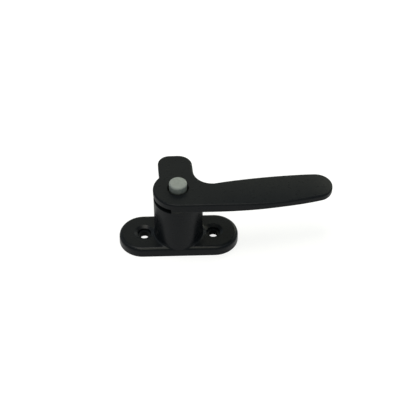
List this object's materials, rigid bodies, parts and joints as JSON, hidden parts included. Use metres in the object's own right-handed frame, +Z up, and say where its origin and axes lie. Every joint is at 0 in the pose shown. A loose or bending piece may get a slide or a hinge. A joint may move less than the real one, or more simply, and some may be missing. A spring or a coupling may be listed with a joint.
{
  "type": "window handle",
  "caption": "Push-button cam window handle: a flat lever with a latching nose turns on a round post moulded with its round-ended screw plate; a sprung button releases it.",
  "frame": {"origin": "centre of the base's underside, midway between the two screw holes, on the lever's axis", "axes": "+X along the base towards the grip, +Y towards the cam nose, +Z up along the lever's axis"},
  "size_m": [0.1089, 0.0375, 0.04],
  "materials": {
    "base_black": "satin black moulding",
    "lever_black": "satin black moulding",
    "button_grey": "matt mid grey moulding",
    "pin_steel": "ground steel",
    "spring_steel": "drawn spring steel",
    "ring_steel": "phosphated spring steel",
    "seat_plastic": "black acetal",
    "washer_plastic": "natural acetal"
  },
  "bodies": {
    "base": {"base": "base_black"},
    "lever": {"lever": "lever_black", "button_spring": "spring_steel", "spring_seat": "seat_plastic", "thrust_washer": "washer_plastic", "disc_spring": "spring_steel", "retaining_ring": "ring_steel"},
    "button": {"push_button": "button_grey", "lock_pin": "pin_steel"}
  },
  "joints": [
    {"name": "lever_turn", "type": "hinge", "parent": "base", "child": "lever", "pos_m": [0, 0, 0], "axis": [0, 0, 1], "range_deg": [-90, 0]},
    {"name": "button_press", "type": "slide", "parent": "lever", "child": "button", "axis": [0, 0, -1], "range_m": [0, 0.003], "stiffness_N_per_m": 500, "springref_m": -0.004, "deforming": ["button_spring"]}
  ]
}
